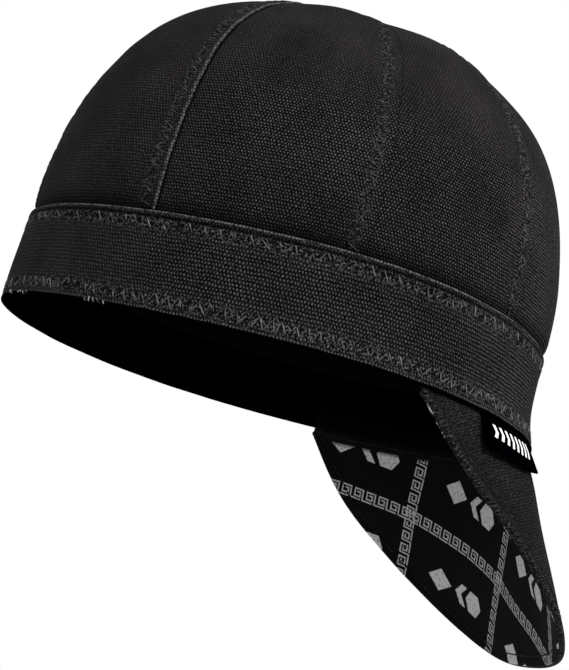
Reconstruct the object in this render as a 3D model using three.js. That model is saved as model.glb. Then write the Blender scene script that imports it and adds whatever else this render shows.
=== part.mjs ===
// A cloth welding cap: eight lapped crown panels, a tall doubled band, a hanging bill with a
// printed lining, and a small tab in the bill's seam.
// Millimetres, +Z up. The origin is the centre of the head opening, level with the band's
// lower edge. +Y is the side opposite the bill, and the bill hangs down on the -Y side.
import * as THREE from "three";

// Plan of the cap, measured over its outside
const RIM_LENGTH = 206; // along Y, at the band's lower edge
const RIM_WIDTH = 171; // along X, at the band's lower edge
const BAND_TOP_LENGTH = 201.4; // along Y, at the band's top edge
const BAND_TOP_WIDTH = 175.4; // along X, at the band's top edge
const RIM_ROUNDNESS = 1.94; // power of the plan's superellipse, 2 is an ellipse
const BAND_TOP_ROUNDNESS = 1.964;
const EGG = 0.08; // how much narrower the plan is towards +Y, and wider towards the bill

// Heights
const BAND_HEIGHT = 34.8;
const CROWN_RISE = 105; // from the band's top edge to the top of the crown
const CROWN_SHOULDER = 2.57; // power of the crown's profile against its reach
const CROWN_DOME = 2.47; // power of the crown's profile against its height
const CROWN_SWELL = 0.046; // share by which the crown's sides are fuller half-way up
const CROWN_END_SWELL = -0.016; // the same for its front and back, which are a little flatter
const BAND_TOP_SHIFT = 1.1; // how far the band's top edge stands towards +Y
const CROWN_TOP_SHIFT = 2.5; // how far the crown's top stands towards +Y
const BAND_TOP_WAVE = 1.1; // the band's top edge rises at both ends of Y and dips at the sides
const RIM_WAVE = 0.6; // the slow wave of the whole band, three rises round the head

// Cloth
const CLOTH_GAP = 0.3; // clearance between neighbouring layers
const BAND_WALL = 1.8;
const BAND_HEM = 0.5; // rounding of the band's folded edges
const PANEL_COUNT = 8;
const PANEL_WALL = 1.2;
const PANEL_TUCK = 12; // height of crown cloth hidden behind the band
const PANEL_PUFF = 0.8; // how far a panel's middle stands out past its seams
const PUFF_SEAM_SHARE = 0.7; // share of the puff by which the seams lie in, the rest stands out
const STEP_FADE = 22; // height over which the crown grows out to the band's face
const LAP_WIDTH = 5; // the folded seam allowance along one side of each panel
const LAP_RISE = 0.8;
const LAP_SLOPE = 0.5; // width over which the lap's edge drops to the panel
const LAP_SHARE = 0.35; // the lap is at most this share of the panel's width
const TIP_RADIUS = 1; // the panels' tips end this far from the crown's centre

// Bill
const BILL_HALF_ANGLE = 67; // degrees of plan angle either side of its centre
const BILL_OVERHANG = 24.8; // how far its tip stands out past the rim
const BILL_DROP = 74.9; // how far its tip hangs below the rim
const BILL_END_DROP = 1.5; // how far its two ends hang below the rim
const BILL_HOLLOW = 0.4; // how far it sinks in between rim and edge
const BILL_TUCK = 9; // height of bill cloth sewn behind the band
const BILL_WALL = 1.2;
const LINING_WALL = 1;
const LINING_INSET = 1.5; // how far the lining stops short of the bill's edge
const LINING_TUCK = 8;
const LINING_SIDE = 0.97; // share of the bill's span that the lining covers

// The bill's edge, a curve from each end A of the bill to its tip. Columns are shares:
// across, of half the rim's width; back, of the way from the end to the tip; down, of the drop.
const BILL_EDGE = [
  { across: 1.187, back: 0.297, down: 0.461 },
  { across: 0.888, back: 0.954, down: 0.876 },
  { across: 0.583, back: 1, down: 1 },
  { across: 0, back: 1, down: 1 },
];

// Label
const LABEL_LENGTH = 51;
const LABEL_FAR_HEIGHT = 15.5; // how far it hangs out of the seam at its end away from the bill's centre
const LABEL_NEAR_HEIGHT = 10; // and at its other end, because it is caught a little askew
const LABEL_WALL = 1;
const LABEL_ANGLE = 51.4; // degrees from the bill's centre to the label's far end, on the -X side
const LABEL_TOP = 1.2; // distance from the band's lower edge to the label's top
const LABEL_LIFT = 1; // how far its lower edge stands off the bill, past the clearance

// Facets
const BAND_COLUMNS = 96;
const PANEL_ROWS = 12;
const PANEL_COLUMNS = 7;
const BILL_COLUMNS = 48;
const BILL_ROWS = 7;
const LABEL_COLUMNS = 12;
const LABEL_ROWS = 3;
const ROW_CROWDING = 1.2; // above 1, the crown's rows crowd towards its top
const ARC_STEPS = 720;
const NUDGE = 1e-3; // step of the slopes that normals are worked out from

const BILL_CENTRE = -Math.PI / 2;

const lerp = THREE.MathUtils.lerp;
const smooth = (x) => THREE.MathUtils.smoothstep(x, 0, 1);
const signedPower = (x, power) => Math.sign(x) * Math.abs(x) ** power;

// A point of the cap's outer face. turn is the plan angle. up is 0 at the rim, 1 at the band's
// top edge and 2 at the top of the crown.
function capPoint(turn, up) {
  const onBand = THREE.MathUtils.clamp(up, 0, 1);
  const climb = (THREE.MathUtils.clamp(up - 1, 0, 1) * Math.PI) / 2;
  const reach = Math.max(Math.cos(climb), 0) ** (2 / CROWN_SHOULDER);
  const rise = Math.sin(climb) ** (2 / CROWN_DOME);
  const halfWay = 4 * rise * (1 - rise);
  const endSwell = 1 + CROWN_END_SWELL * halfWay;
  const sideSwell = 1 + CROWN_SWELL * halfWay;
  const halfLength = (lerp(RIM_LENGTH, BAND_TOP_LENGTH, onBand) / 2) * reach * endSwell;
  const halfWidth = (lerp(RIM_WIDTH, BAND_TOP_WIDTH, onBand) / 2) * reach * sideSwell;
  const power = 2 / lerp(RIM_ROUNDNESS, BAND_TOP_ROUNDNESS, onBand);
  const across = signedPower(Math.cos(turn), power);
  const along = signedPower(Math.sin(turn), power);
  const shift = BAND_TOP_SHIFT * onBand + (CROWN_TOP_SHIFT - BAND_TOP_SHIFT) * rise;
  const wave = BAND_TOP_WAVE * onBand * Math.cos(2 * turn) - RIM_WAVE * Math.sin(3 * turn);
  return new THREE.Vector3(
    halfWidth * across * (1 - EGG * Math.sin(turn)),
    halfLength * along + shift,
    BAND_HEIGHT * onBand + CROWN_RISE * rise + wave * (1 - rise),
  );
}

// The unit normal of a face given as a function of two parameters, from its slopes there.
function normalOf(face, u, v, low, high) {
  const v0 = Math.max(v - NUDGE, low);
  const v1 = Math.min(v + NUDGE, high);
  const alongU = face(u + NUDGE, v).sub(face(u - NUDGE, v));
  const alongV = face(u, v1).sub(face(u, v0));
  return alongU.cross(alongV).normalize();
}

function capNormal(turn, up) {
  if (up <= 1) return normalOf(capPoint, turn, up, 0, 1);
  return normalOf(capPoint, turn, up, 1, 2);
}

// A point at a distance outside the cap's outer face, or inside it where that is negative.
function offCap(turn, up, distance) {
  return capPoint(turn, up).addScaledVector(capNormal(turn, up), distance);
}

// The plan angle at a share of the band's top edge, measured along it from the bill's centre.
const arcTable = [0];
for (let i = 1; i <= ARC_STEPS; i++) {
  const before = capPoint(BILL_CENTRE + ((i - 1) / ARC_STEPS) * 2 * Math.PI, 1);
  const here = capPoint(BILL_CENTRE + (i / ARC_STEPS) * 2 * Math.PI, 1);
  arcTable.push(arcTable[i - 1] + here.distanceTo(before));
}
function turnAt(share) {
  const laps = Math.floor(share);
  const length = (share - laps) * arcTable[ARC_STEPS];
  let i = 1;
  while (arcTable[i] < length) i++;
  const part = (length - arcTable[i - 1]) / (arcTable[i] - arcTable[i - 1]);
  return BILL_CENTRE + (laps + (i - 1 + part) / ARC_STEPS) * 2 * Math.PI;
}

// A closed wall between two faces. outer and inner give the point of each face at column c and
// row r; columns run counterclockwise seen from outside, rows run up. A ring joins its ends.
function wall(columns, rows, outer, inner, ring = false) {
  const points = [];
  for (const face of [outer, inner]) {
    for (let r = 0; r <= rows; r++) {
      for (let c = 0; c <= columns; c++) points.push(face(c, r));
    }
  }
  const onRing = (c) => (ring && c === columns ? 0 : c);
  const at = (side, c, r) => (side * (rows + 1) + r) * (columns + 1) + onRing(c);
  const faces = [];
  const quad = (a, b, c, d) => faces.push(a, b, c, a, c, d);
  for (let r = 0; r < rows; r++) {
    for (let c = 0; c < columns; c++) {
      quad(at(0, c, r), at(0, c + 1, r), at(0, c + 1, r + 1), at(0, c, r + 1));
      quad(at(1, c, r), at(1, c, r + 1), at(1, c + 1, r + 1), at(1, c + 1, r));
    }
  }
  for (let c = 0; c < columns; c++) {
    quad(at(1, c, 0), at(1, c + 1, 0), at(0, c + 1, 0), at(0, c, 0));
    quad(at(0, c, rows), at(0, c + 1, rows), at(1, c + 1, rows), at(1, c, rows));
  }
  for (let r = 0; r < rows && !ring; r++) {
    quad(at(1, 0, r), at(0, 0, r), at(0, 0, r + 1), at(1, 0, r + 1));
    quad(at(0, columns, r), at(1, columns, r), at(1, columns, r + 1), at(0, columns, r + 1));
  }
  const geometry = new THREE.BufferGeometry().setFromPoints(points);
  geometry.setIndex(faces);
  geometry.computeVertexNormals();
  return geometry;
}

// The band, a ring of doubled cloth with rounded folds at its lower and top edges.
function bandGeometry() {
  const rows = [
    { height: 0, hem: BAND_HEM },
    { height: BAND_HEM, hem: 0 },
    { height: BAND_HEIGHT / 2, hem: 0 },
    { height: BAND_HEIGHT - BAND_HEM, hem: 0 },
    { height: BAND_HEIGHT, hem: BAND_HEM },
  ];
  const turn = (c) => (c / BAND_COLUMNS) * 2 * Math.PI;
  const face = (depth, side) => (c, r) =>
    offCap(turn(c), rows[r].height / BAND_HEIGHT, -depth - side * rows[r].hem);
  return wall(BAND_COLUMNS, rows.length - 1, face(0, 1), face(BAND_WALL, -1), true);
}

// The heights of a panel's rows, as capPoint takes them: its tuck, the band's top edge, and up
// to the tip.
function panelRows() {
  const tipReach = TIP_RADIUS / (BAND_TOP_LENGTH / 2);
  const tip = Math.acos(tipReach ** (CROWN_SHOULDER / 2)) / (Math.PI / 2);
  const rows = [1 - PANEL_TUCK / BAND_HEIGHT];
  for (let r = 0; r <= PANEL_ROWS; r++) {
    rows.push(1 + tip * (1 - (1 - r / PANEL_ROWS) ** ROW_CROWDING));
  }
  return rows;
}

// How far the crown's face lies inside the cap's outer face: behind the band, then growing out.
function crownInset(turn, up) {
  const above = capPoint(turn, up).z - capPoint(turn, 1).z;
  return (BAND_WALL + CLOTH_GAP) * (1 - smooth(above / STEP_FADE));
}

// One panel of the crown. Its side at the higher plan angle has the raised lap.
function panelGeometry(index) {
  const rows = panelRows();
  const columnsAt = rows.map((up) => {
    const low = capPoint(turnAt(index / PANEL_COUNT), up);
    const high = capPoint(turnAt((index + 1) / PANEL_COUNT), up);
    const width = low.distanceTo(high);
    const edge = CLOTH_GAP / 2 / width;
    const lap = Math.min(LAP_WIDTH / width, LAP_SHARE);
    const slope = Math.min(LAP_SLOPE / width, lap / 4);
    const columns = [];
    for (let c = 0; c < PANEL_COLUMNS; c++) {
      columns.push({ place: lerp(edge, 1 - lap, c / (PANEL_COLUMNS - 1)), lap: 0 });
    }
    const lapRise = LAP_RISE * Math.min(width / (2 * LAP_WIDTH), 1);
    columns.push({ place: 1 - lap + slope, lap: lapRise });
    columns.push({ place: 1 - edge, lap: lapRise });
    return columns;
  });
  const face = (depth, lapShare) => (c, r) => {
    const column = columnsAt[r][c];
    const turn = turnAt((index + column.place) / PANEL_COUNT);
    const hidden = rows[r] <= 1;
    const grown = hidden ? 0 : smooth((capPoint(turn, rows[r]).z - BAND_HEIGHT) / STEP_FADE);
    const puff = PANEL_PUFF * (Math.sin(Math.PI * column.place) - PUFF_SEAM_SHARE) * grown;
    const lift = hidden ? 0 : column.lap * lapShare * grown;
    return offCap(turn, rows[r], puff + lift - depth - crownInset(turn, rows[r]));
  };
  return wall(PANEL_COLUMNS + 1, rows.length - 1, face(0, 1), face(PANEL_WALL, 0));
}

// The rim's plan angle at a place along the bill: side is -1 at its -X end and 1 at its +X end.
const billTurn = (side) => BILL_CENTRE + side * THREE.MathUtils.degToRad(BILL_HALF_ANGLE);

// A point of the bill's edge, on a Bezier curve of one end and the rows of BILL_EDGE.
function billEdge(side) {
  const end = capPoint(billTurn(1), 0);
  end.z -= BILL_END_DROP;
  const tipY = -(RIM_LENGTH / 2) - BILL_OVERHANG;
  const controls = [end];
  for (const row of BILL_EDGE) {
    const x = (row.across * RIM_WIDTH) / 2;
    controls.push(new THREE.Vector3(x, lerp(end.y, tipY, row.back), -BILL_DROP * row.down));
  }
  const toTip = 1 - Math.min(Math.abs(side), 1);
  let line = controls;
  while (line.length > 1) {
    line = line.slice(1).map((point, i) => line[i].clone().lerp(point, toTip));
  }
  const point = line[0];
  if (side < 0) point.x = -point.x;
  return point;
}

// A point of the bill's outer face. down is 1 at its edge, 0 at the rim and -1 at the top of the
// cloth sewn behind the band.
function billPoint(side, down) {
  const turn = billTurn(side);
  const behindBand = -(BAND_WALL + CLOTH_GAP);
  if (down <= 0) return offCap(turn, (-down * BILL_TUCK) / BAND_HEIGHT, behindBand);
  const root = offCap(turn, 0, behindBand);
  const hollow = capNormal(turn, 0).setZ(0).normalize();
  return root
    .lerp(billEdge(side), down)
    .addScaledVector(hollow, -BILL_HOLLOW * 4 * down * (1 - down));
}

function billNormal(side, down) {
  const above = () => normalOf(billPoint, side, Math.min(down, 0), -1, 0).negate();
  const below = () => normalOf(billPoint, side, Math.max(down, NUDGE), NUDGE / 2, 1).negate();
  if (down < 0) return above();
  if (down > 0) return below();
  return above().add(below()).normalize();
}

// One layer of the bill, a wall that lies from depth to depth plus thickness inside its outer
// face. sideShare and inset hold it back from the bill's ends and edge.
function billLayer(depth, thickness, tuck, sideShare, inset) {
  const sideOf = (c) => lerp(-sideShare, sideShare, c / BILL_COLUMNS);
  const downOf = (c, r) => {
    if (r === BILL_ROWS + 1) return -tuck / BILL_TUCK;
    const side = sideOf(c);
    const length = billPoint(side, 1).distanceTo(billPoint(side, 0));
    const lowest = 1 - Math.min(inset / length, 0.5);
    return lowest * (1 - r / BILL_ROWS);
  };
  const face = (within) => (c, r) => {
    const side = sideOf(c);
    const down = downOf(c, r);
    return billPoint(side, down).addScaledVector(billNormal(side, down), -within);
  };
  return wall(BILL_COLUMNS, BILL_ROWS + 1, face(depth), face(depth + thickness));
}

// The label, laid over the bill's outer face below the band, its lower edge a little lifted.
function labelGeometry() {
  const start = -LABEL_ANGLE / BILL_HALF_ANGLE;
  const slope = billPoint(start, 0).distanceTo(billPoint(start + NUDGE, 0)) / NUDGE;
  const span = LABEL_LENGTH / slope;
  const face = (within) => (c, r) => {
    const side = start + (c / LABEL_COLUMNS) * span;
    const length = billPoint(side, 1).distanceTo(billPoint(side, 0));
    const height = lerp(LABEL_FAR_HEIGHT, LABEL_NEAR_HEIGHT, c / LABEL_COLUMNS);
    const below = LABEL_TOP + height * (1 - r / LABEL_ROWS);
    const lift = CLOTH_GAP + LABEL_LIFT * (1 - r / LABEL_ROWS) + LABEL_WALL - within;
    const down = below / length;
    return billPoint(side, down).addScaledVector(billNormal(side, down), lift);
  };
  return wall(LABEL_COLUMNS, LABEL_ROWS, face(0), face(LABEL_WALL));
}

const canvas = new THREE.MeshStandardMaterial({ color: 0x252426, roughness: 0.92, metalness: 0 });
const lining = new THREE.MeshStandardMaterial({ color: 0x0d0d0e, roughness: 0.7, metalness: 0 });
const tape = new THREE.MeshStandardMaterial({ color: 0x060608, roughness: 0.6, metalness: 0 });

const cap = new THREE.Group();
function place(name, geometry, material) {
  const mesh = new THREE.Mesh(geometry, material);
  mesh.name = name;
  cap.add(mesh);
}

for (let i = 0; i < PANEL_COUNT; i++) place(`crown_panel_${i + 1}`, panelGeometry(i), canvas);
place("band", bandGeometry(), canvas);
place("bill_outer", billLayer(0, BILL_WALL, BILL_TUCK, 1, 0), canvas);
place(
  "bill_lining",
  billLayer(BILL_WALL + CLOTH_GAP, LINING_WALL, LINING_TUCK, LINING_SIDE, LINING_INSET),
  lining,
);
place("label", labelGeometry(), tape);

export default cap;
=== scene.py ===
import math

import bmesh
import bpy
import numpy as np
from mathutils import Matrix, Vector


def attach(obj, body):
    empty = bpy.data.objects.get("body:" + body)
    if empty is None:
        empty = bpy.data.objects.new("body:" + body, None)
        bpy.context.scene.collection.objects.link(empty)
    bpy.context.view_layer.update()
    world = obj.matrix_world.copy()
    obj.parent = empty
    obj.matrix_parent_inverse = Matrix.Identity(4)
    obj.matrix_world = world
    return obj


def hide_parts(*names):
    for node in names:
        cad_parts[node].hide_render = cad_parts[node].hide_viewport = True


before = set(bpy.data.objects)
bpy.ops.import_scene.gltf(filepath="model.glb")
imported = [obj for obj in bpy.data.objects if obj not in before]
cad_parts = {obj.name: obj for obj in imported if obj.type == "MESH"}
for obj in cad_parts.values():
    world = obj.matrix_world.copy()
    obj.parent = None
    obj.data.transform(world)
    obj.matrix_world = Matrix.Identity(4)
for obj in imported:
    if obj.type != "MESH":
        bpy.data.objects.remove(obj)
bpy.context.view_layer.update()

MM = 0.001

# Plan of the cap over its outside, in mm
RIM_LENGTH = 206
RIM_WIDTH = 171
BAND_TOP_LENGTH = 201.4
BAND_TOP_WIDTH = 175.4
RIM_ROUNDNESS = 1.94
BAND_TOP_ROUNDNESS = 1.964
EGG = 0.08

# Heights, in mm
BAND_HEIGHT = 34.8
CROWN_RISE = 105
CROWN_SHOULDER = 2.57
CROWN_DOME = 2.47
CROWN_SWELL = 0.046
CROWN_END_SWELL = -0.016
BAND_TOP_SHIFT = 1.1
CROWN_TOP_SHIFT = 2.5
BAND_TOP_WAVE = 1.1
RIM_WAVE = 0.6

# Cloth, in mm
CLOTH_GAP = 0.3
BAND_WALL = 1.8
PANEL_COUNT = 8
PANEL_WALL = 1.2
PANEL_TUCK = 12
PANEL_PUFF = 0.8
PUFF_SEAM_SHARE = 0.7
STEP_FADE = 22
LAP_WIDTH = 7.4
LAP_RISE = 0.5
LAP_SHARE = 0.4

# Bill, in mm and degrees
BILL_HALF_ANGLE = 67
BILL_OVERHANG = 24.8
BILL_DROP = 74.9
BILL_END_DROP = 1.5
BILL_HOLLOW = 0.4
BILL_TUCK = 9
BILL_WALL = 1.2
LINING_WALL = 1
LINING_INSET = 0.7
LINING_TUCK = 8
LINING_SIDE = 0.97
BILL_EDGE = ((1.187, 0.297, 0.461), (0.888, 0.954, 0.876), (0.583, 1, 1), (0, 1, 1))

# Label, in mm and degrees
LABEL_LENGTH = 47.5
LABEL_FAR_HEIGHT = 15.5
LABEL_NEAR_HEIGHT = 10
LABEL_WALL = 1
LABEL_ANGLE = 51.4
LABEL_TOP = 1.2
LABEL_LIFT = 1

NUDGE = 1e-3
ARC_STEPS = 1440
BILL_CENTRE = -math.pi / 2
# Steps round a rolled edge of cloth
FOLD_ANGLES = np.linspace(0, math.pi, 9)[1:-1]


def lerp(a, b, t):
    return a + (b - a) * t


def smooth(x):
    x = np.clip(x, 0, 1)
    return x * x * (3 - 2 * x)


def bell(x, width):
    return np.exp(-((x / width) ** 2))


def matched(a, b):
    """Two numbers or arrays as arrays of one shape."""
    return np.broadcast_arrays(np.asarray(a, float), np.asarray(b, float))


def signed_power(x, power):
    return np.sign(x) * np.abs(x) ** power


def unit(v):
    return v / np.maximum(np.linalg.norm(v, axis=-1, keepdims=True), 1e-12)


def length_along(points):
    """Distance along a line of points, from its first one."""
    steps = np.linalg.norm(np.diff(points, axis=0), axis=-1)
    return np.concatenate([[0], np.cumsum(steps)])


def sway(points, wavelength, seed):
    """A smooth random height from about -1 to 1 at each point, the same each run."""
    rng = np.random.default_rng(seed)
    waves = 14
    total = 0
    for _ in range(waves):
        direction = unit(rng.normal(size=points.shape[-1]))
        stretch = wavelength * rng.uniform(0.75, 1.5)
        total = total + np.sin(points @ direction * (2 * math.pi / stretch) + rng.uniform(0, 6.28))
    return total / math.sqrt(waves)


# Shape of the cap


def cap_point(turn, up):
    """A point of the cap's outer face: up is 0 at the rim, 1 at the band's top, 2 at the crown's."""
    turn, up = matched(turn, up)
    on_band = np.clip(up, 0, 1)
    climb = np.clip(up - 1, 0, 1) * math.pi / 2
    reach = np.maximum(np.cos(climb), 0) ** (2 / CROWN_SHOULDER)
    rise = np.sin(climb) ** (2 / CROWN_DOME)
    half_way = 4 * rise * (1 - rise)
    end_swell = 1 + CROWN_END_SWELL * half_way
    side_swell = 1 + CROWN_SWELL * half_way
    half_length = lerp(RIM_LENGTH, BAND_TOP_LENGTH, on_band) / 2 * reach * end_swell
    half_width = lerp(RIM_WIDTH, BAND_TOP_WIDTH, on_band) / 2 * reach * side_swell
    power = 2 / lerp(RIM_ROUNDNESS, BAND_TOP_ROUNDNESS, on_band)
    across = signed_power(np.cos(turn), power)
    along = signed_power(np.sin(turn), power)
    shift = BAND_TOP_SHIFT * on_band + (CROWN_TOP_SHIFT - BAND_TOP_SHIFT) * rise
    wave = BAND_TOP_WAVE * on_band * np.cos(2 * turn) - RIM_WAVE * np.sin(3 * turn)
    x = half_width * across * (1 - EGG * np.sin(turn))
    y = half_length * along + shift
    z = BAND_HEIGHT * on_band + CROWN_RISE * rise + wave * (1 - rise)
    return np.stack([x, y, z], axis=-1)


def slope_normal(face, u, v, low, high):
    """The unit normal of a face given as a function of two parameters."""
    v0 = np.maximum(v - NUDGE, low)
    v1 = np.minimum(v + NUDGE, high)
    along_u = face(u + NUDGE, v) - face(u - NUDGE, v)
    along_v = face(u, v1) - face(u, v0)
    return unit(np.cross(along_u, along_v))


def cap_normal(turn, up):
    turn, up = matched(turn, up)
    band = slope_normal(cap_point, turn, np.clip(up, 0, 1), 0, 1)
    crown = slope_normal(cap_point, turn, np.clip(up, 1, 2), 1, 2)
    return unit(lerp(band, crown, smooth((up - 0.85) / 0.3)[..., None]))


arc_turns = BILL_CENTRE + np.linspace(0, 2 * math.pi, ARC_STEPS + 1)
arc_lengths = length_along(cap_point(arc_turns, 1))
BAND_TOP_ROUND = arc_lengths[-1]


def turn_at(share):
    """The plan angle at a share of the band's top edge, from the bill's centre."""
    laps = np.floor(share)
    return laps * 2 * math.pi + np.interp((share - laps) * BAND_TOP_ROUND, arc_lengths, arc_turns)


def toward_bill(turn):
    """1 at the bill's middle and 0 away from it."""
    return smooth((-np.sin(turn) - 0.45) / 0.5)


# Meshes


def make_mesh(name, points, quads, uvs, marks, face_materials, materials):
    mesh = bpy.data.meshes.new(name)
    mesh.vertices.add(len(points))
    mesh.vertices.foreach_set("co", (points * MM).astype(np.float32).ravel())
    mesh.loops.add(quads.size)
    mesh.loops.foreach_set("vertex_index", quads.astype(np.int32).ravel())
    mesh.polygons.add(len(quads))
    mesh.polygons.foreach_set("loop_start", np.arange(0, quads.size, 4, dtype=np.int32))
    mesh.update(calc_edges=True)
    layer = mesh.uv_layers.new(name="cloth")
    layer.data.foreach_set("uv", (uvs[quads] * MM).astype(np.float32).ravel())
    for mark, values in marks.items():
        attribute = mesh.attributes.new(mark, "FLOAT", "POINT")
        attribute.data.foreach_set("value", values.astype(np.float32).ravel())
    for material in materials:
        mesh.materials.append(material)
    mesh.polygons.foreach_set("material_index", face_materials.astype(np.int32))
    mesh.polygons.foreach_set("use_smooth", np.ones(len(quads), bool))
    work = bmesh.new()
    work.from_mesh(mesh)
    bmesh.ops.recalc_face_normals(work, faces=work.faces)
    work.to_mesh(mesh)
    work.free()
    obj = bpy.data.objects.new(name, mesh)
    bpy.context.scene.collection.objects.link(obj)
    return obj


def loop_solid(points, uvs, ring=False):
    """A solid swept through closed loops: points is (loops, around, 3). Gives its points, quads and
    uvs, and each quad's place round the loop."""
    loops, around, _ = points.shape
    index = np.arange(loops * around).reshape(loops, around)
    ahead = np.roll(index, -1, axis=1)
    here = slice(None) if ring else slice(None, -1)
    after = np.roll(index, -1, axis=0) if ring else index[1:]
    after_ahead = np.roll(ahead, -1, axis=0) if ring else ahead[1:]
    quads = np.stack([index[here], ahead[here], after_ahead, after], axis=-1).reshape(-1, 4)
    part = np.tile(np.arange(around), len(after))
    if not ring:
        k = np.arange(around // 2 - 1)
        for end in (index[0], index[-1]):
            cap = np.stack([end[k], end[k + 1], end[around - 2 - k], end[around - 1 - k]], axis=-1)
            quads = np.concatenate([quads, cap])
            part = np.concatenate([part, np.full(len(cap), around)])
    return points.reshape(-1, 3), quads, uvs.reshape(-1, 2), part


def place_piece(name, solid, materials, nodes=(), inside_from=None, marks=None):
    """Makes a piece. Faces from inside_from on, round the loop, take the second material. marks
    are numbers kept with its points: one for wear and painted light, above 0 where the cloth is worn
    light, with a painted highlight on the band's lip, and below 0 where shade is painted dark, in
    creases, above the band and by the bill's root; and sewn, near 1 where stitches roughen the cloth."""
    points, quads, uvs, part = solid
    inside = np.zeros(len(quads)) if inside_from is None else (part >= inside_from)
    obj = make_mesh(name, points, quads, uvs, marks or {}, inside, materials)
    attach(obj, "root")
    if nodes:
        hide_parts(*nodes)


# Node materials

# Chevrons on the label, in mm: their pitch, and how far their row stands aside
MARK_PITCH = 4.3
MARKS_ASIDE = 2.4
# How far past its light tone a fleck of the canvas may go
BRIGHTEST = 1.9
# Print on the lining: where it starts below the rim, left out above it as painted shade by the
# root, its cells and its slant, in mm and degrees
PRINT_TOP = 4.0
PRINT_CELL = (58.0, 40.0)
PRINT_SLANT = -33
# The printed hook: its pitch and stroke in mm, and each stroke's low and high x and y, in strokes
HOOK_PITCH = 5.8
HOOK_STROKE = 0.64
HOOK_UPRIGHTS = ((0, 1, 0, 8), (6, 7, 2, 8), (2, 3, 2, 6))
HOOK_LEVELS = ((0, 7, 7, 8), (2, 7, 2, 3), (2, 5, 5, 6), (2, 9, 0, 1))


class Field:
    """A number that varies over a surface, worked out by Math nodes."""

    def __init__(self, tree, value):
        self.tree = tree
        self.value = value

    def math(self, operation, *others):
        node = self.tree.nodes.new("ShaderNodeMath")
        node.operation = operation
        for slot, item in enumerate((self, *others)):
            link_or_set(self.tree, item, node.inputs[slot])
        return Field(self.tree, node.outputs[0])

    def __add__(self, other):
        return self.math("ADD", other)

    def __sub__(self, other):
        return self.math("SUBTRACT", other)

    def __mul__(self, other):
        return self.math("MULTIPLY", other)

    def __truediv__(self, other):
        return self.math("DIVIDE", other)

    def flip(self):
        """One less this."""
        return self * -1.0 + 1.0

    def sin(self):
        return self.math("SINE")

    def cos(self):
        return self.math("COSINE")

    def abs(self):
        return self.math("ABSOLUTE")

    def fract(self):
        return self.math("FRACT")

    def min(self, other):
        return self.math("MINIMUM", other)

    def max(self, other):
        return self.math("MAXIMUM", other)

    def clip(self, low=0.0, high=1.0):
        return self.max(low).min(high)

    def power(self, other):
        return self.math("POWER", other)

    def below(self, limit, softness=0.08):
        """1 where this is under the limit and 0 over it, with a soft edge."""
        node = self.tree.nodes.new("ShaderNodeMapRange")
        link_or_set(self.tree, self, node.inputs["Value"])
        span = {"From Min": limit - softness, "From Max": limit + softness, "To Min": 1, "To Max": 0}
        for name, value in span.items():
            node.inputs[name].default_value = value
        return Field(self.tree, node.outputs["Result"])


def link_or_set(tree, item, socket):
    if isinstance(item, Field):
        item = item.value
    if isinstance(item, bpy.types.NodeSocket):
        tree.links.new(item, socket)
    else:
        socket.default_value = item


def new_material(name, roughness, specular):
    material = bpy.data.materials.new(name)
    material.use_nodes = True
    tree = material.node_tree
    shader = tree.nodes["Principled BSDF"]
    shader.inputs["Roughness"].default_value = roughness
    shader.inputs["Specular IOR Level"].default_value = specular
    return material, tree, shader


def in_mm(tree, vector):
    """A place in metres as a socket in mm."""
    scale = tree.nodes.new("ShaderNodeVectorMath")
    scale.operation = "SCALE"
    scale.inputs["Scale"].default_value = 1 / MM
    tree.links.new(vector, scale.inputs[0])
    return scale.outputs["Vector"]


def parts_of(tree, vector):
    """The X, Y and Z of a socket, as fields."""
    parts = tree.nodes.new("ShaderNodeSeparateXYZ")
    tree.links.new(vector, parts.inputs[0])
    return [Field(tree, parts.outputs[axis]) for axis in "XYZ"]


def cloth_place(tree):
    """The place on the cut cloth, in mm, as two fields, and the socket that holds it."""
    source = tree.nodes.new("ShaderNodeUVMap")
    source.uv_map = "cloth"
    flat = in_mm(tree, source.outputs["UV"])
    u, v, _ = parts_of(tree, flat)
    return u, v, flat


def object_place(tree):
    """The place in space, in mm, as a socket."""
    source = tree.nodes.new("ShaderNodeTexCoord")
    return in_mm(tree, source.outputs["Object"])


def noise(tree, vector, size, detail=2.0, stretch=(1, 1, 1), roughness=0.5):
    """A noise field about 0 to 1, with features of the given size in mm."""
    mapping = tree.nodes.new("ShaderNodeMapping")
    mapping.inputs["Scale"].default_value = [s / size for s in stretch]
    node = tree.nodes.new("ShaderNodeTexNoise")
    node.inputs["Scale"].default_value = 1
    node.inputs["Detail"].default_value = detail
    node.inputs["Roughness"].default_value = roughness
    tree.links.new(vector, mapping.inputs["Vector"])
    tree.links.new(mapping.outputs["Vector"], node.inputs["Vector"])
    return Field(tree, node.outputs["Fac"])


def mixed_colour(tree, share, low, high):
    mix = tree.nodes.new("ShaderNodeMix")
    mix.data_type = "RGBA"
    mix.clamp_factor = False
    link_or_set(tree, share, mix.inputs[0])
    link_or_set(tree, low, mix.inputs[6])
    link_or_set(tree, high, mix.inputs[7])
    return mix.outputs[2]


def dress(tree, shader, colour, height, depth_mm):
    """Gives a shader its colour and its fine relief."""
    tree.links.new(colour, shader.inputs["Base Color"])
    bump = tree.nodes.new("ShaderNodeBump")
    bump.inputs["Distance"].default_value = depth_mm * MM
    link_or_set(tree, height, bump.inputs["Height"])
    tree.links.new(bump.outputs["Normal"], shader.inputs["Normal"])


def grey(level, warmth=0.0):
    """A near-neutral linear colour of the given brightness."""
    return (level * (1 + warmth), level * (1 - warmth), level, 1)


def mark_field(tree, mark):
    """A number kept with each piece's points."""
    source = tree.nodes.new("ShaderNodeAttribute")
    source.attribute_name = mark
    return Field(tree, source.outputs["Fac"])


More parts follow.
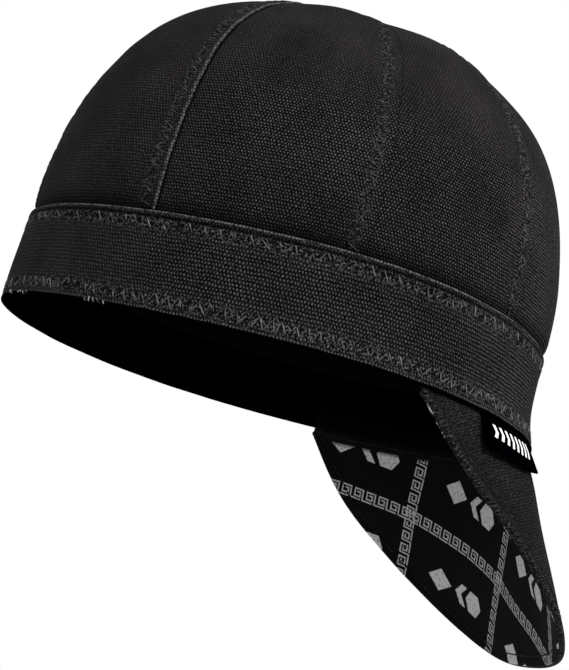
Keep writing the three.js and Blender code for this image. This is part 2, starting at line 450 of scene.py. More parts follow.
def canvas_material(name, spacing, row, weave, fuzz, light, calm_height, depth_mm):
    """Cotton duck: round bumps in rows that are each half a step on, with fuzz and uneven dye. The
    bumps' tips are painted light and the gaps between them dark, a painted highlight and shade of
    the weave. spacing and row are the bumps' pitch in mm, weave and fuzz say how much of each is lit.
    The weave is softer above calm_height and toward +Y, shows more as rows toward -Y, and is rough
    where the cloth is sewn, with painted shade in its hollows there. It is light where worn, with a
    painted highlight on the band's lip, and painted dark where shade falls in creases, above the band
    and by the bill's root."""
    material, tree, shader = new_material(name, 1.0, 0.02)
    u, v, flat = cloth_place(tree)
    space = object_place(tree)
    wear_and_painted_light = mark_field(tree, "wear_and_painted_light")
    sewn = mark_field(tree, "sewn")
    wobble_u = noise(tree, flat, 5.0, 1.0) - 0.5
    wobble_v = noise(tree, flat, 4.3, 1.0, (0.8, 1.2, 1)) - 0.5
    slub = noise(tree, flat, 2.4, 1.0, (2.5, 0.25, 1)) - 0.5
    across = (u + wobble_u * 1.3 + slub * 0.25) * (2 * math.pi / spacing)
    along = ((v + wobble_v * 1.1) * (math.pi / row)).cos()
    bumps = ((along * along * 2.0 + across.cos() * along * 2.0 + 0.3) / 4.3).max(0.0)
    specks = noise(tree, flat, 1.25, 1.0)
    fibres = noise(tree, flat, 0.42, roughness=0.7)
    patches = noise(tree, space, 24.0, 3.0)
    streaks = noise(tree, flat, 7.0, stretch=(1.6, 0.4, 1))
    _, place_y, height = parts_of(tree, space)
    calm = ((height - calm_height) / 45.0).max(0.0)
    calm = (calm + ((place_y - 50.0) / 70.0).max(0.0)).min(0.6)
    ribbed = ((place_y * -1.0 - 50.0) / 35.0).clip(0.0, 0.2)
    # Worn light above 0, with a painted highlight on the band's lip; painted shade below 0, in creases,
    # above the band and by the bill's root.
    rubbed_and_painted_highlight = wear_and_painted_light.max(0.0)
    painted_shade = (wear_and_painted_light * -1.0).max(0.0)
    ribs = (along * along).power(1.5) * 0.6
    # The weave's tips are painted light and its gaps dark: painted highlight and shade of the weave, along
    # with its bump.
    dots = bumps.power(2.3) * ribbed.flip() + ribs * ribbed
    dots = dots * (specks * 3.0 - 0.2) * weave
    loose = ((specks - 0.42) * 1.3 + (fibres - 0.5) * 0.8).max(0.0) * fuzz
    flecks = ((fibres - 0.59) * 9.0).clip(0.0, 1.5) * (fuzz * 0.9)
    lit = dots + loose + flecks
    plain = 0.22 * weave
    lit = lit * calm.flip() + calm * plain
    lit = lit * ((patches - 0.5) * 1.3 + (streaks - 0.5) * 0.5 + 0.95)
    tangle = noise(tree, flat, 0.85, 1.0, roughness=0.6)
    # Dark specks where the cloth is sewn: painted shade in its hollows.
    shaded_pits = ((noise(tree, flat, 1.7, 1.0, (1.2, 0.8, 1)) - 0.505) * 12.0).clip()
    rough = ((tangle - 0.54) * 18.0).clip() * 1.7
    lit = lit * (sewn * 0.6).flip() + sewn * rough
    lit = lit * (shaded_pits * sewn).flip().max(0.08)
    spots = ((specks - 0.46) * 6.0 + 0.75).max(0.22) * (fibres + 0.4)
    # Lighter where worn and where a highlight is painted, then darker where shade is painted.
    lit = lit + rubbed_and_painted_highlight * spots * (bumps * 1.3 + 0.1)
    lit = lit * painted_shade.flip().max(0.06)
    colour = mixed_colour(tree, lit.clip(0.0, BRIGHTEST), grey(0.0012, 0.05), grey(light, 0.05))
    dress(tree, shader, colour, bumps * weave + fibres * 0.3, depth_mm)
    return material


def inside_shade_material(name, dark, light):
    """Painted shade for the cloth's back, seen only inside the cap: near black, between two levels of grey.
    """
    material, tree, shader = new_material(name, 1.0, 0.0)
    u, v, flat = cloth_place(tree)
    fibres = noise(tree, flat, 0.9, 3.0, roughness=0.6)
    threads = (u * (math.pi / 0.6)).sin() * (v * (math.pi / 0.6)).sin() * 0.5 + 0.5
    colour = mixed_colour(tree, fibres * (threads * 0.8 + 0.4), grey(dark), grey(light))
    dress(tree, shader, colour, fibres + threads * 0.6, 0.15)
    return material


def thread_material(name, dark, light, shaded_stroke_level):
    """Sewing thread, painted dark where it goes into the cloth, as painted shade. Every other stroke
    is darker, by its share, as painted shade on the strokes that face away from the light.
    """
    material, tree, shader = new_material(name, 0.8, 0.05)
    stroke, _, _ = cloth_place(tree)
    space = object_place(tree)
    worn = noise(tree, space, 3.0)
    fibres = noise(tree, space, 0.5, 1.0)
    place = stroke.fract()
    # Painted shade where the thread goes into the cloth.
    shaded_ends = place.min(place.flip()).below(0.1, 0.06)
    # Every other stroke is painted darker: painted shade on the strokes that face away from the light.
    other = (stroke * 0.5).fract().below(0.5, 0.001)
    shown = other.max(shaded_stroke_level) * ((worn - 0.35) * 2.2).clip() * (fibres * 0.8 + 0.5)
    colour = mixed_colour(tree, shown * shaded_ends.flip(), grey(dark), grey(light))
    dress(tree, shader, colour, fibres, 0.08)
    return material


def box(x, y, low_x, high_x, low_y, high_y):
    """1 inside a box and 0 outside it."""
    in_x = (x - (low_x + high_x) / 2).abs().below((high_x - low_x) / 2, 0.14)
    in_y = (y - (low_y + high_y) / 2).abs().below((high_y - low_y) / 2, 0.14)
    return in_x * in_y


def in_repeat(x, pitch, shift=0.0):
    """How far x is from the middle of the repeat it is in. shift is a share of the pitch."""
    return ((x / pitch + shift).fract() - 0.5) * pitch


def key_band(across, along):
    """A band of hooked outlines that follow each other. Both places are in mm."""
    x = (along / HOOK_PITCH).fract() * 9.0
    y = across / HOOK_STROKE + 4.0
    first, *others = HOOK_UPRIGHTS + HOOK_LEVELS
    hook = box(x, y, *first)
    for sides in others:
        hook = hook.max(box(x, y, *sides))
    return hook


def hexagon(x, y, radius):
    x, y = x.abs(), y.abs()
    return (x * 0.866 + y * 0.5).max(y).below(radius, 0.12)


def chevron(x, y, size, stroke):
    line = (x + y.abs() * 0.8).abs().below(stroke, 0.12)
    return line * y.abs().below(size, 0.12)


def diamond(x, y, radius):
    return (x.abs() * 0.8 + y.abs()).below(radius, 0.12)


def lining_material():
    """Smooth black lining with a light print: a lattice of hooked bands round simple shapes. By
    the root the print is left out and the ground painted darker, as painted shade.
    """
    material, tree, shader = new_material("printed_lining", 0.9, 0.03)
    u, v, flat = cloth_place(tree)
    angle = math.radians(PRINT_SLANT)
    x = u * math.cos(angle) - v * math.sin(angle) + 6.0
    y = u * math.sin(angle) + v * math.cos(angle) + 11.0
    cell_x, cell_y = PRINT_CELL
    in_x = in_repeat(x, cell_x)
    in_y = in_repeat(y, cell_y)
    bands = key_band(in_repeat(x, cell_x, 0.5), y).max(key_band(in_repeat(y, cell_y, 0.5), x))
    shapes = hexagon(in_x + 13.0, in_y, 4.7)
    shapes = shapes.max(chevron(in_x + 2.4, in_y, 4.6, 1.8))
    shapes = shapes.max(diamond(in_x - 8.4, in_y, 5.2))
    ink = (bands * 0.8).max(shapes)
    worn = noise(tree, flat, 1.2, 3.0, roughness=0.65)
    ink = ink * ((worn - 0.34) * 9.0).clip(0.45)
    # The print is left out near the root: painted shade there.
    _, _, height = parts_of(tree, object_place(tree))
    ink = ink * (height * -1.0).below(PRINT_TOP, 0.8).flip()
    soft = noise(tree, flat, 14.0)
    # The ground is painted darker by the root: painted shade where the lining goes in under the band.
    tucked = (mark_field(tree, "wear_and_painted_light") * -1.0).clip()
    ground = mixed_colour(tree, (soft * 0.5 + 0.5) * tucked.flip(), grey(0.0002), grey(0.0026))
    colour = mixed_colour(tree, ink, ground, grey(0.3))
    twill = ((u + v) * (math.pi / 0.45)).sin() * 0.5 + 0.5
    dress(tree, shader, colour, twill * 0.3 + ink * 0.5, 0.06)
    return material


def label_material():
    """Black woven tape with a row of light chevrons."""
    material, tree, shader = new_material("label_tape", 1.0, 0.0)
    u, v, _ = cloth_place(tree)
    along = u + MARKS_ASIDE
    off_middle = (v - 0.4).abs()
    slant = in_repeat(along, MARK_PITCH) + off_middle * 0.55 - 0.8
    marks = slant.abs().below(0.9, 0.12) * off_middle.below(2.6, 0.12)
    marks = marks * along.abs().below(4 * MARK_PITCH, 0.05)
    rib = (v * (math.pi / 0.4)).sin() * 0.5 + 0.5
    ends = (u * (math.pi / 0.5)).sin() * 0.5 + 0.5
    ground = mixed_colour(tree, rib, (0.0001, 0.0001, 0.0003, 1), (0.0004, 0.0004, 0.0010, 1))
    ink = mixed_colour(tree, ends, grey(0.6), grey(0.85))
    dress(tree, shader, mixed_colour(tree, marks, ground, ink), rib * 0.4 + marks * 0.6, 0.12)
    return material


crown_canvas = canvas_material("canvas_crown", 1.17, 1.15, 1.0, 0.25, 0.053, 80.0, 0.3)
band_canvas = canvas_material("canvas_band", 1.15, 1.33, 1.0, 0.3, 0.053, 900.0, 0.3)
bill_canvas = canvas_material("canvas_bill", 1.1, 1.1, 0.5, 0.9, 0.028, 900.0, 0.25)
# The inside faces are painted near black: painted shade inside the cap.
band_inside_shade = inside_shade_material("inside_shade_band", 0.0002, 0.0011)
crown_inside_shade = inside_shade_material("inside_shade_crown", 0.001, 0.004)
lining = lining_material()
tape = label_material()
# Light levels of the seam, band and hem threads: partly their own grey, partly a painted highlight where
# they catch the light.
seam_thread = thread_material("thread_seam", 0.001, 0.13, 0.7)
band_thread = thread_material("thread_band", 0.001, 0.22, 0.4)
hem_thread = thread_material("thread_hem", 0.001, 0.22, 0.7)
dark_thread = thread_material("thread_black", 0.002, 0.02, 1.0)
root_thread = thread_material("thread_root", 0.002, 0.03, 1.0)
pale_thread = thread_material("thread_pale", 0.004, 0.45, 0.0)

# Crown panels

CROWN_ROW = 2.0
CROWN_TIP = 8
BILL_PRESS = 0.7
SEAM_STITCH = 4.5
# Along the band's top, in mm: how far a seam stands aside, and how much further it does low down
SEAM_SHIFTS = {6: 5.0}
SEAM_LEANS = {5: 2.2}
# How sharply each seam's fold stands up, which also sets how dark the painted shade beside it is,
# how worn it is, and how rough its stitches leave it
SEAM_RELIEFS = (0.8, 0.8, 0.8, 0.7, 0.5, 1.0, 0.3, 0.7)
SEAM_RUBS = (0.7, 0.7, 0.7, 0.6, 0.5, 2.6, 0.0, 0.5)
SEAM_SEWN = (0.6, 0.6, 0.6, 0.5, 0.4, 0.5, 0.5, 0.7)
# The radius of each seam's thread, in mm
SEAM_THREADS = (0.2, 0.2, 0.2, 0.2, 0.18, 0.13, 0.21, 0.16)
# The crown's low relief, in mm
LAP_PAD = 0.15
SEAM_GROOVE = 0.45
SEAM_NIP = 0.2
RIPPLE = 0.16
RIPPLE_WAVE = 11
GATHER_REACH = 9
SAG = 0.42
SAG_WAVE = 46
TIP_RADIUS = 0.15
TIP_UP = 1 + math.acos((TIP_RADIUS / (BAND_TOP_LENGTH / 2)) ** (CROWN_SHOULDER / 2)) / (math.pi / 2)
fine_ups = np.linspace(1, TIP_UP, 4000)
fine_heights = length_along(cap_point(0.8, fine_ups))
CROWN_LENGTH = fine_heights[-1]


def crown_up(distance):
    """How far up the crown is at a distance along it from the band's top; below it, on the band."""
    above = np.interp(distance, fine_heights, fine_ups)
    return np.where(distance < 0, 1 + distance / BAND_HEIGHT, above)


def crown_grown(base, turn):
    """How far the crown has come out to the band's face. It comes out sooner at the cap's two ends."""
    above = base[..., 2] - BAND_HEIGHT
    by_bill = 0.65 * smooth(above / 3.5) + 0.35 * smooth(above / 26)
    by_far_end = 0.6 * smooth(above / 6) + 0.4 * smooth(above / 24)
    grown = lerp(smooth(above / STEP_FADE), by_bill, toward_bill(turn))
    return lerp(grown, by_far_end, smooth((np.sin(turn) - 0.5) / 0.45))


def seam_share(seam, up):
    """Where a seam stands, as a share of the band's top edge."""
    lean = SEAM_LEANS.get(seam, 0) * (1 - smooth((up - 1) / 0.4))
    return seam / PANEL_COUNT + (SEAM_SHIFTS.get(seam, 0) + lean) / BAND_TOP_ROUND


def panel_width(index, up):
    low = cap_point(turn_at(seam_share(index, up)), up)
    high = cap_point(turn_at(seam_share(index + 1, up)), up)
    return np.linalg.norm(high - low, axis=-1)


def lap_scale(width):
    return np.minimum(1, LAP_SHARE * width / LAP_WIDTH)


def panel_point(index, across, distance, face):
    """A point of a crown panel: across in mm from its low seam, distance in mm up from the band.
    face is 0 on its outer face and 1 on its inner face. Gives the point and the normal."""
    across, distance = matched(across, distance)
    up = crown_up(distance)
    width = panel_width(index, up)
    scale = lap_scale(width)
    place = across / width
    turn = turn_at(lerp(seam_share(index, up), seam_share(index + 1, up), place))
    base = cap_point(turn, up)
    normal = cap_normal(turn, up)
    grown = crown_grown(base, turn)
    visible = smooth(distance / 8 + 0.35)
    inset = (BAND_WALL + CLOTH_GAP + BILL_PRESS * toward_bill(turn)) * (1 - grown)
    puff = PANEL_PUFF * (np.sin(math.pi * np.clip(place, -0.2, 1.2)) - PUFF_SEAM_SHARE) * grown
    from_fold = (width - across) / scale
    from_low = across / scale
    high_relief = SEAM_RELIEFS[(index + 1) % PANEL_COUNT]
    low_relief = SEAM_RELIEFS[index]
    # A flat seam still stands up where it goes behind the band.
    high_relief = lerp(high_relief, max(high_relief, 0.8), 1 - smooth(distance / 26))
    on_lap = smooth((LAP_WIDTH + 0.6 - from_fold) / 1.2)
    lap = LAP_RISE * high_relief * scale * visible * on_lap
    ridge = bell(from_fold - 1.0, 1.0) - bell(from_fold - SEAM_STITCH, 2.0)
    lap_pad = LAP_PAD * high_relief * scale * visible * ridge
    groove = SEAM_GROOVE * low_relief * scale * visible * (1 - smooth((from_low + 0.2) / 1.5))
    nip = SEAM_NIP * high_relief * visible * bell(from_fold - LAP_WIDTH - 1.4, 1.6)
    gather = np.exp(-np.minimum(from_fold, np.maximum(from_low, 0)) / GATHER_REACH)
    side = np.where(from_fold < from_low, 1, 0)
    place_by_seam = np.stack([distance, side * 70.0 + index * 31.0], axis=-1)
    ripple = sway(place_by_seam, RIPPLE_WAVE, 5 + index) * gather * RIPPLE * visible
    sag = sway(base, SAG_WAVE, 3) * SAG * visible * grown
    outer = puff + lap + lap_pad - groove - nip + ripple + sag - inset
    thick = lerp(PANEL_WALL, 1.1 * scale + 0.1, on_lap)
    return base + normal * (outer - thick * face)[..., None], normal


LOW_SIDE = np.array([-4.2, -3.4, -2.6, -1.8, -1.1, -0.6, -0.2, 0.15, 0.5, 0.9, 1.3, 1.8, 2.4, 3.2])
HIGH_SIDE = np.array([11, 10, 9.2, 8.6, 8.1, 7.7, 7.3, 6.9, 6.3, 5.4, 4.5, 3.6, 2.7, 1.9, 1.3, 0.8])
MAIN_COLUMNS = 30
FOLD_STEPS = 9


def crown_panel(index):
    tucked = np.linspace(-PANEL_TUCK, -1, 7)
    rows = np.arange(0, CROWN_LENGTH - CROWN_TIP, CROWN_ROW)
    tip = CROWN_LENGTH - CROWN_TIP * (1 - np.linspace(0, 1, 9)) ** 1.3
    distance = np.concatenate([tucked, rows, tip])[:, None]
    up = crown_up(distance)
    width = panel_width(index, up)
    scale = lap_scale(width)
    low = LOW_SIDE * scale
    high = width - HIGH_SIDE * scale
    main = lerp(low[:, -1:], high[:, :1], np.linspace(0, 1, MAIN_COLUMNS + 2)[1:-1])
    across = np.concatenate([low, main, high], axis=1)
    outer, _ = panel_point(index, across, distance, 0)
    inner, _ = panel_point(index, across, distance, 1)
    # The fold turns from the outer face's last point to the inner face's, bulging outwards.
    top, bottom = outer[:, -1:], inner[:, -1:]
    aside = unit(top - outer[:, -3:-2])
    angles = np.linspace(0, math.pi, FOLD_STEPS + 2)[1:-1][None, :, None]
    reach = (HIGH_SIDE[-1] * scale)[..., None]
    fold = (top + bottom) / 2 + (top - bottom) / 2 * np.cos(angles) + aside * reach * np.sin(angles)
    # A point between the two faces' first ones makes the count even, as the end caps need it.
    middle = (outer[:, :1] + inner[:, :1]) / 2
    points = np.concatenate([middle, outer, fold, inner[:, ::-1]], axis=1)
    bend = across[:, -1:] + 2 * scale * angles[..., 0] / math.pi
    flat = np.concatenate([across[:, :1], across, bend, across[:, ::-1]], axis=1)
    uvs = np.stack([flat - width / 2 + index * 97, np.broadcast_to(distance, flat.shape)], axis=-1)
    inside_from = across.shape[1] + FOLD_STEPS
    from_fold = width - flat - HIGH_SIDE[-1] * scale
    wear_and_painted_light = SEAM_RUBS[(index + 1) % PANEL_COUNT] * bell(from_fold + 0.35, 0.4)
    # Painted shade: darker by the low seam, where the neighbouring panel's fold laps over it, and just above
    # the band, where the crown goes in behind it.
    wear_and_painted_light = wear_and_painted_light - 0.8 * SEAM_RELIEFS[index] * (1 - smooth(flat / scale))
    wear_and_painted_light = wear_and_painted_light - 0.9 * (1 - smooth(distance / 9 + 0.15))
    stitched = SEAM_SEWN[(index + 1) % PANEL_COUNT] * bell(from_fold - SEAM_STITCH, 2.4)
    place_piece(
        f"crown_panel_cloth_{index + 1}",
        loop_solid(points, uvs),
        [crown_canvas, crown_inside_shade],
        [f"crown_panel_{index + 1}"],
        inside_from,
        {"wear_and_painted_light": wear_and_painted_light, "sewn": stitched},
    )


for panel in range(PANEL_COUNT):
    crown_panel(panel)

# Band

BAND_COLUMNS = 640
BAND_FOLD = 0.9
BAND_WAIST = 2.4
BAND_LIP = 0.4
BAND_LIP_CREASE = 0.25
BAND_HEM = 0.15
STITCH_SINK = 0.22
HEM_STITCH_SINK = 0.2
BAND_RIPPLE = 0.16
BAND_RIPPLE_WAVE = 17
BAND_FULLNESS = 0.3
BAND_FULLNESS_WAVE = 38
TOP_STITCH = 4.4
TOP_STITCH_WIDTH = 4.2
TOP_STITCH_PITCH = 5.3
LOW_STITCH = 4.8
LOW_STITCH_WIDTH = 4.3
LOW_STITCH_PITCH = 4.1


def band_point(turn, height, depth):
    """A point of the band at a height over its lower edge and a depth in from its outer face."""
    up = height / BAND_HEIGHT
    base = cap_point(turn, up)
    normal = cap_normal(turn, np.clip(up, 0, 0.85))
    from_top = BAND_HEIGHT - height
    waist = BAND_WAIST * np.sin(math.pi * np.clip(up, 0, 1)) * smooth((-np.sin(turn) - 0.35) / 0.6)
    # The lip is weaker by the bill and at the cap's other end.
    lip = BAND_LIP * bell(from_top - 0.6, 0.8) - BAND_LIP_CREASE * bell(from_top - 2.1, 0.7)
    lip = lip * (1 - 0.9 * toward_bill(turn)) * (1 - 0.5 * smooth((np.sin(turn) - 0.6) / 0.4))
    stitched = STITCH_SINK * bell(from_top - TOP_STITCH, 2.4)
    stitched = stitched + HEM_STITCH_SINK * bell(height - LOW_STITCH, 2.4)
    hem = BAND_HEM * bell(height - 1.1, 1.0)
    around = np.stack([turn * 95.0, 0 * turn], axis=-1)
    wave = sway(around, BAND_RIPPLE_WAVE, 21) * BAND_RIPPLE
    wave = wave * (bell(from_top - 1, 3) + bell(height - 1, 3))
    full = sway(base, BAND_FULLNESS_WAVE, 8) * BAND_FULLNESS * np.sin(math.pi * np.clip(up, 0, 1))
    press = BILL_PRESS * toward_bill(turn) * smooth((up - 0.5) / 0.5)
    off = lip + hem - stitched - waist - press + wave + full - depth
    return base + normal * off[..., None], normal


def band_piece():
    turns = np.linspace(0, 2 * math.pi, BAND_COLUMNS, endpoint=False)[:, None]
    # Rows up the face, closer together where it is sewn
    low_rows = np.linspace(BAND_FOLD, 8, 15)
    middle_rows = np.linspace(9.5, BAND_HEIGHT - 9.5, 9)
    top_rows = np.linspace(BAND_HEIGHT - 8, BAND_HEIGHT - BAND_FOLD, 15)
    face = np.concatenate([low_rows, middle_rows, top_rows])
    top = BAND_HEIGHT - BAND_FOLD + BAND_FOLD * np.sin(FOLD_ANGLES)
    low = BAND_FOLD - BAND_FOLD * np.sin(FOLD_ANGLES)
    turned = BAND_WALL / 2 * (1 - np.cos(FOLD_ANGLES))
    heights = np.concatenate([face, top, face[::-1], low])[None]
    depths = np.concatenate([face * 0, turned, face * 0 + BAND_WALL, turned[::-1]])[None]
    inside_from = len(face) + len(top)
    points, _ = band_point(turns, heights, depths)
    share = np.linspace(0, 1, BAND_COLUMNS, endpoint=False)[:, None] * BAND_TOP_ROUND
    uvs = np.stack([share + 0 * heights, heights + 0 * share], axis=-1)
    solid = loop_solid(points, uvs, ring=True)
    from_top = BAND_HEIGHT - heights + 0 * share
    by_bill = toward_bill(turns)
    # Lighter along the lip: worn light, with a painted highlight on the fold. Darker just under it: painted
    # shade below the lip. Lighter along the lower edge: worn light.
    wear_and_painted_light = (2.2 - 1.4 * by_bill) * bell(from_top - 0.4, 0.55)
    wear_and_painted_light = wear_and_painted_light - (0.9 - 0.5 * by_bill) * bell(from_top - 1.9, 0.7)
    wear_and_painted_light = wear_and_painted_light + 0.35 * bell(BAND_HEIGHT - from_top - 0.5, 0.8)
    sewn = 0.85 * bell(from_top - TOP_STITCH, 2.5) + 0.85 * bell(heights - LOW_STITCH, 2.5)
    marks = {"wear_and_painted_light": wear_and_painted_light, "sewn": sewn}
    place_piece("band_cloth", solid, [band_canvas, band_inside_shade], ["band"], inside_from, marks)


band_piece()

# Bill

EDGE_STITCH = 4.6
EDGE_PAD = 0.2
EDGE_GROOVE = 0.12
BILL_SAG = 0.5
BILL_SAG_WAVE = 44
LINING_SWELL = 0.22
LINING_SWELL_WAVE = 23
CANVAS_FOLD = 1.1
CANVAS_LIP = 1.2
LINING_FOLD = 0.4
BILL_COLUMNS = 420
# Rows near the bill's edge, in mm from it
EDGE_ROWS = np.array([9, 8, 7.2, 6.6, 6, 5.4, 4.8, 4.2, 3.6, 3, 2.5, 2, 1.6, 1.2, 0.8, 0.4, 0])


def bill_turn(side):
    return BILL_CENTRE + side * math.radians(BILL_HALF_ANGLE)


def bill_edge(side):
    """A point of the bill's edge: side is -1 at its -X end, 0 at its tip and 1 at its +X end."""
    end = cap_point(bill_turn(1), 0) - np.array([0, 0, BILL_END_DROP])
    tip_y = -RIM_LENGTH / 2 - BILL_OVERHANG
    controls = [end]
    for across, back, down in BILL_EDGE:
        controls.append(np.array([across * RIM_WIDTH / 2, lerp(end[1], tip_y, back), -BILL_DROP * down]))
    to_tip = (1 - np.minimum(np.abs(side), 1))[..., None]
    line = [np.broadcast_to(c, side.shape + (3,)) for c in controls]
    while len(line) > 1:
        line = [lerp(a, b, to_tip) for a, b in zip(line, line[1:])]
    return line[0] * np.stack([np.where(side < 0, -1, 1), 1 + 0 * side, 1 + 0 * side], axis=-1)


def off_cap(turn, up, distance):
    return cap_point(turn, up) + slope_normal(cap_point, turn, up, 0, 1) * distance


def bill_point(side, down):
    """A point of the bill's outer face: down is 1 at its edge, 0 at the rim, -1 at its top."""
    side, down = matched(side, down)
    turn = bill_turn(side)
    behind = -(BAND_WALL + CLOTH_GAP)
    hidden = off_cap(turn, np.clip(-down, 0, 1) * BILL_TUCK / BAND_HEIGHT, behind)
    root = off_cap(turn, 0 * turn, behind)
    outward = slope_normal(cap_point, turn, 0 * turn, 0, 1) * np.array([1, 1, 0])
    hang = np.clip(down, 0, None)
    free = lerp(root, bill_edge(side), hang[..., None])
    free = free - unit(outward) * (BILL_HOLLOW * 4 * hang * (1 - hang))[..., None]
    return np.where((down <= 0)[..., None], hidden, free)


def bill_length(side):
    """From the rim to the bill's edge, in mm."""
    return np.linalg.norm(bill_point(side, 1) - bill_point(side, 0), axis=-1)


def bill_normal(side, down):
    side, down = matched(side, down)
    above = -slope_normal(bill_point, side, np.clip(down, -1, -2 * NUDGE), -1, 0)
    below = -slope_normal(bill_point, side, np.clip(down, 2 * NUDGE, 1), NUDGE / 2, 1)
    return unit(lerp(above, below, smooth(down / 0.08 + 0.5)[..., None]))


def third_corner(a, b, from_a, from_b, side):
    """The flat point at the given distances from two others, on the chosen side of their line."""
    apart = np.linalg.norm(b - a)
    along = (from_a**2 - from_b**2 + apart**2) / (2 * apart)
    high = math.sqrt(max(from_a**2 - along**2, 0))
    direction = (b - a) / apart
    return a + direction * along + side * high * np.array([-direction[1], direction[0]])


def flat_bill():
    """The bill rolled out flat, strip by strip: its root and edge in mm, at even sides."""
    sides = np.linspace(-1, 1, 241)
    roots = bill_point(sides, 0 * sides)
    edges = bill_point(sides, 0 * sides + 1)
    middle = len(sides) // 2
    flat_root = np.zeros((len(sides), 2))
    flat_edge = np.zeros((len(sides), 2))
    flat_edge[middle] = (0, -np.linalg.norm(edges[middle] - roots[middle]))
    for step in (1, -1):
        for i in range(middle, middle + step * middle, step):
            j = i + step
            root_root = np.linalg.norm(roots[j] - roots[i])
            root_edge = np.linalg.norm(roots[j] - edges[i])
            flat_root[j] = third_corner(flat_root[i], flat_edge[i], root_root, root_edge, step)
            edge_root = np.linalg.norm(edges[j] - roots[j])
            edge_edge = np.linalg.norm(edges[j] - edges[i])
            flat_edge[j] = third_corner(flat_root[j], flat_edge[i], edge_root, edge_edge, step)
    return sides, flat_root, flat_edge


flat_sides, flat_root, flat_edge = flat_bill()


def bill_flat(side, down):
    """The place on the rolled-out bill, in mm."""
    side, down = matched(side, down)

    def place(line):
        return np.stack([np.interp(side, flat_sides, line[:, k]) for k in (0, 1)], axis=-1)

    root, edge = place(flat_root), place(flat_edge)
    up = root + unit(root - edge) * (np.clip(-down, 0, None) * BILL_TUCK)[..., None]
    return np.where((down <= 0)[..., None], up, lerp(root, edge, down[..., None]))


def from_edge(side, down):
    """Distance on the rolled-out bill from its edge, in mm."""
    here = bill_flat(side, down)
    best = np.full(here.shape[:-1], 1e9)
    for a, b in zip(flat_edge[:-1], flat_edge[1:]):
        along = np.clip(((here - a) @ (b - a)) / ((b - a) @ (b - a)), 0, 1)
        best = np.minimum(best, np.linalg.norm(here - a - along[..., None] * (b - a), axis=-1))
    return best


def bill_layer_point(side, down, depth):
    return bill_point(side, down) - bill_normal(side, down) * depth[..., None]


def bill_sway(side, down):
    return sway(bill_point(side, down), BILL_SAG_WAVE, 12) * BILL_SAG * smooth(down / 0.25)


def edge_pad(side, down):
    """Height of the seam allowance's pad along the bill's edge, and the stitched groove by it."""
    distance = from_edge(side, down)
    pad = EDGE_PAD * smooth((EDGE_STITCH - distance) / 2.2)
    return (pad - EDGE_GROOVE * bell(distance - EDGE_STITCH, 1.4)) * smooth(down / 0.15)


def bill_outer_depth(side, down):
    return -bill_sway(side, down) - edge_pad(side, down)


def bill_loops(side_share, tuck, inset, fold, outer_depth, inner_depth):
    """One layer of the bill, as loops down its outer face, round its edge and up its inner face.
    Gives the solid, its painted shade for the tucked-in root, and how many rows each face has."""
    side = np.linspace(-side_share, side_share, BILL_COLUMNS)[:, None]
    length = bill_length(side)
    low = length - inset - fold
    close = low - EDGE_ROWS[None] * np.minimum(1, low / 14)
    hang = np.concatenate([close[:, :1] * np.linspace(0, 1, 34)[None, :-1], close], axis=1)
    hidden = -np.linspace(tuck, tuck / 6, 6)[None] / BILL_TUCK + 0 * side
    down = np.concatenate([hidden, hang / length], axis=1)
    outer = outer_depth(side, down)
    inner = inner_depth(side, down)
    angles = FOLD_ANGLES[None]
    middle = (outer[:, -1:] + inner[:, -1:]) / 2
    half = (inner[:, -1:] - outer[:, -1:]) / 2
    fold_down = (low + fold * np.sin(angles)) / length
    fold_depth = middle - half * np.cos(angles)
    downs = np.concatenate([down, fold_down, down[:, ::-1]], axis=1)
    # On the rolled-out cloth the fold goes on past the edge, and the inner face beyond it.
    bend = math.pi / 2 * (fold + 1)
    past_fold = (2 * low + bend) / length - down[:, ::-1]
    cloth_downs = np.concatenate([down, (low + bend * angles / math.pi) / length, past_fold], axis=1)
    depths = np.concatenate([outer, fold_depth, inner[:, ::-1]], axis=1)
    # A last point between the two faces makes the count even, as the end caps need it.
    downs = np.concatenate([downs, downs[:, :1]], axis=1)
    depths = np.concatenate([depths, (depths[:, :1] + depths[:, -1:]) / 2], axis=1)
    cloth_downs = np.concatenate([cloth_downs, cloth_downs[:, :1]], axis=1)
    points = bill_layer_point(side, downs, depths)
    # Painted shade: below 0 where the bill goes in under the band.
    tucked = -smooth(-downs * BILL_TUCK / 1.5 + 0.4)
    return loop_solid(points, bill_flat(side, cloth_downs)), tucked, down.shape[1]


def outer_back(side, down):
    """The canvas's inner face, with the lip that it forms round the lining at the edge."""
    lip = CANVAS_LIP * (1 - smooth((from_edge(side, down) - 1.0) / 0.5))
    return -bill_sway(side, down) + BILL_WALL + lip


def lining_face(side, down):
    swell = sway(bill_point(side, down), LINING_SWELL_WAVE, 15) * LINING_SWELL * smooth(down / 0.2)
    return -bill_sway(side, down) + BILL_WALL + CLOTH_GAP + LINING_WALL + edge_pad(side, down) + swell


def lining_back(side, down):
    return -bill_sway(side, down) + BILL_WALL + CLOTH_GAP / 2


solid, tucked, rows = bill_loops(1, BILL_TUCK, 0, CANVAS_FOLD, bill_outer_depth, outer_back)
# How many rows each point is from the middle of the edge's fold
rows_off = np.abs(np.arange(tucked.shape[1])[None] - rows - len(FOLD_ANGLES) // 2) + 0 * tucked
# The root's painted shade, and worn light along the edge's fold.
marks = {"wear_and_painted_light": tucked + 0.3 * bell(rows_off, 5.0), "sewn": 0.5 * bell(rows_off, 9.0)}
place_piece("bill_cloth", solid, [bill_canvas], ["bill_outer"], marks=marks)
solid, tucked, _ = bill_loops(LINING_SIDE, LINING_TUCK, LINING_INSET, LINING_FOLD, lining_face, lining_back)
place_piece("bill_lining_cloth", solid, [lining], ["bill_lining"], marks={"wear_and_painted_light": tucked})

# Label

LABEL_TUCK = 1.2
LABEL_SHEAR = 2.2
LABEL_FOLD = 0.5


